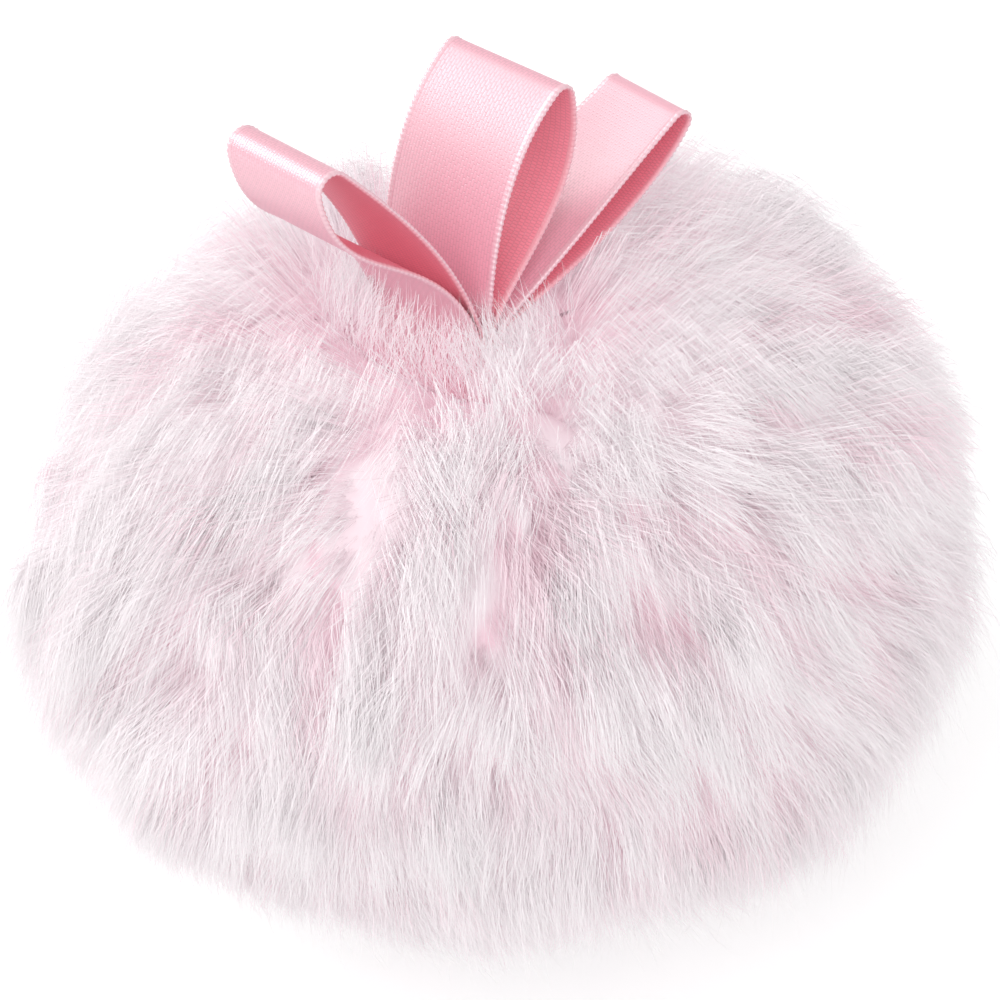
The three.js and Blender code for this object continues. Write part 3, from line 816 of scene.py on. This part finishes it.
def add_ramp(material, socket, first, last, between):
    """Colour ramp from a socket: its first and last colour, and those between by their place."""
    node = add_node(material, "ShaderNodeValToRGB", {"Fac": socket})
    stops = node.color_ramp.elements
    stops[0].color = (*first, 1.0)
    stops[1].color = (*last, 1.0)
    for place, colour in between.items():
        stops.new(place).color = (*colour, 1.0)
    return node


def fur_material():
    """Fur: pink at the root and near white at the tip, with a little difference from lock to lock."""
    material, shader = new_material("fur", **FUR)
    uv = add_node(material, "ShaderNodeUVMap", {}, uv_map="OFBake")
    split = add_node(material, "ShaderNodeSeparateXYZ", {"Vector": uv.outputs["UV"]})
    along = add_ramp(material, split.outputs["Y"], FUR_ROOT, FUR_TIP, {FUR_HALF_AT: FUR_HALF})
    tint = add_ramp(material, split.outputs["X"], FUR_TINT, WHITE, {})
    mix = add_node(material, "ShaderNodeMix", {
        "Factor": 1.0,
        "A": along.outputs["Color"],
        "B": tint.outputs["Color"],
    }, data_type="RGBA", blend_type="MULTIPLY")
    material.node_tree.links.new(mix.outputs["Result"], shader.inputs["Base Color"])
    return material


def satin_material(name, surface, weave):
    """Satin: floats of thread along the ribbon in staggered rows, in millimetres, with a paler selvedge."""
    material, shader = new_material(name, **surface)
    shader.inputs["IOR"].default_value = SATIN_IOR
    colour = surface["colour"]
    uv = add_node(material, "ShaderNodeUVMap", {}, uv_map="Weave")
    floats = add_node(material, "ShaderNodeTexBrick", {
        "Vector": uv.outputs["UV"],
        "Scale": 1.0,
        "Brick Width": weave["length"],
        "Row Height": weave["width"],
        "Mortar Size": FLOAT_GAP,
        "Mortar Smooth": 1.0,
        "Color1": (*colour, 1.0),
        "Color2": (*[min(1.0, FLOAT_PALER * part) for part in colour], 1.0),
        "Mortar": (*[FLOAT_DARKER * part for part in colour], 1.0),
    }, offset=FLOAT_STAGGER)
    split = add_node(material, "ShaderNodeSeparateXYZ", {"Vector": uv.outputs["UV"]})
    off_centre = add_node(material, "ShaderNodeMath", {
        0: split.outputs["Y"],
        1: RIBBON_WIDTH / 2,
    }, operation="SUBTRACT")
    from_middle = add_node(material, "ShaderNodeMath", {
        0: off_centre.outputs["Value"],
    }, operation="ABSOLUTE")
    inmost, outmost = SELVEDGE_BAND
    selvedge = add_node(material, "ShaderNodeMapRange", {
        "Value": from_middle.outputs["Value"],
        "From Min": RIBBON_WIDTH / 2 - inmost,
        "From Max": RIBBON_WIDTH / 2 - outmost,
    }, interpolation_type="SMOOTHSTEP")
    mix = add_node(material, "ShaderNodeMix", {
        "Factor": selvedge.outputs["Result"],
        "A": floats.outputs["Color"],
        "B": (*[SELVEDGE_KEEP * part + SELVEDGE_PALE for part in colour], 1.0),
    }, data_type="RGBA")
    material.node_tree.links.new(mix.outputs["Result"], shader.inputs["Base Color"])
    relief = add_node(material, "ShaderNodeBump", {
        "Strength": weave["relief"],
        "Distance": FLOAT_HEIGHT * MM,
        "Height": floats.outputs["Fac"],
    }, invert=True)
    material.node_tree.links.new(relief.outputs["Normal"], shader.inputs["Normal"])
    return material


# Build

rng = np.random.default_rng(SEED)
fur_look = fur_material()
cover_look, _ = new_material("cover", **COVER)
thread_look, _ = new_material("thread", **THREAD)
satin_face = satin_material("satin_face", SATIN_FACE, SATIN_FACE_WEAVE)
satin_back = satin_material("satin_back", SATIN_BACK, SATIN_BACK_WEAVE)

cover = make_cover()
cover.data.materials.append(cover_look)
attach(cover, "puff")
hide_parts("cover_cloth", "stuffing")

comb = combing(rng)
fur = [make_undercoat(rng, comb), *make_fur(rng, comb)]
for piece in fur:
    piece.data.materials.append(fur_look)
    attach(piece, "puff")
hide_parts("fur_pile")

for loop_name, loop_values in LOOPS.items():
    ribbon, ribbon_length = make_ribbon(f"{loop_name}_ribbon", loop_values)
    ribbon.data.materials.append(satin_face)
    ribbon.data.materials.append(satin_back)
    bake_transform(ribbon)
    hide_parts(f"{loop_name}_loop", f"{loop_name}_tails")

for node in ("gathering_thread", "ribbon_binding"):
    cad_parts[node].data.materials.clear()
    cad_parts[node].data.materials.append(thread_look)


# Stage, light and camera

def make_lamp(name, place, size, energy):
    """Round soft lamp that looks at the ball."""
    lamp = bpy.data.lights.new(name, "AREA")
    lamp.shape = "DISK"
    lamp.size = size
    lamp.energy = energy
    obj = bpy.data.objects.new(name, lamp)
    place = Vector(place)
    look = Vector((0, 0, BALL_MIDDLE * MM)) - place
    obj.matrix_world = Matrix.Translation(place) @ look.to_track_quat("-Z", "Y").to_matrix().to_4x4()
    scene.collection.objects.link(obj)


def make_stage():
    """Pale floor that takes a shadow, a white surround, a lamp behind at the left and one in front."""
    floor = bpy.data.objects.new("floor", bpy.data.meshes.new("floor"))
    half = FLOOR_HALF
    corners = [(-half, -half, 0), (half, -half, 0), (half, half, 0), (-half, half, 0)]
    floor.data.from_pydata(corners, [], [(0, 1, 2, 3)])
    scene.collection.objects.link(floor)
    material, shader = new_material("floor", **FLOOR)
    shader.inputs["Emission Color"].default_value = (*WHITE, 1.0)
    seen = add_node(material, "ShaderNodeLightPath", {})
    direct = add_node(material, "ShaderNodeMath", {
        0: seen.outputs["Is Camera Ray"],
        1: seen.outputs["Is Glossy Ray"],
    }, operation="MAXIMUM")
    shown = add_node(material, "ShaderNodeMath", {
        0: direct.outputs["Value"],
        1: seen.outputs["Is Transmission Ray"],
    }, operation="MAXIMUM")
    glow = add_node(material, "ShaderNodeMath", {
        0: shown.outputs["Value"],
        1: FLOOR_GLOW,
    }, operation="MULTIPLY")
    material.node_tree.links.new(glow.outputs["Value"], shader.inputs["Emission Strength"])
    floor.data.materials.append(material)
    world = bpy.data.worlds.new("surround")
    scene.world = world
    world.use_nodes = True
    background = world.node_tree.nodes["Background"]
    background.inputs["Color"].default_value = (*WHITE, 1.0)
    background.inputs["Strength"].default_value = SURROUND
    make_lamp("key", **KEY)
    make_lamp("fill", **FILL)


def make_camera():
    """Long lens at the photograph's angle, rolled as the photograph is."""
    azimuth, elevation = math.radians(CAMERA_AZIMUTH), math.radians(CAMERA_ELEVATION)
    roll = math.radians(CAMERA_ROLL)
    level = Vector((math.cos(azimuth), math.sin(azimuth), 0))
    outwards = Vector((math.sin(azimuth), -math.cos(azimuth), 0))
    back = outwards * math.cos(elevation) + Vector((0, 0, math.sin(elevation)))
    rise = back.cross(level)
    right = level * math.cos(roll) - rise * math.sin(roll)
    up = level * math.sin(roll) + rise * math.cos(roll)
    data = bpy.data.cameras.new("camera")
    data.sensor_width = SENSOR_WIDTH
    data.lens = SENSOR_WIDTH * PIXELS_PER_MM * CAMERA_DISTANCE / PICTURE_WIDTH
    data.clip_start = NEAREST_SEEN
    data.clip_end = FARTHEST_SEEN
    camera = bpy.data.objects.new("camera", data)
    middle = Vector((0, 0, BALL_MIDDLE)) + up * (BALL_BELOW_CENTRE / PIXELS_PER_MM)
    place = (middle + back * CAMERA_DISTANCE) * MM
    camera.matrix_world = Matrix((
        (right.x, up.x, back.x, place.x),
        (right.y, up.y, back.y, place.y),
        (right.z, up.z, back.z, place.z),
        (0, 0, 0, 1),
    ))
    scene.collection.objects.link(camera)
    scene.camera = camera


make_stage()
make_camera()
scene.view_settings.view_transform = "Standard"
scene.cycles.diffuse_bounces = DIFFUSE_BOUNCES
scene.cycles.use_fast_gi = True
scene.cycles.fast_gi_method = "REPLACE"
scene.cycles.ao_bounces_render = TRACED_BOUNCES
scene.world.light_settings.distance = BOUNCE_REACH
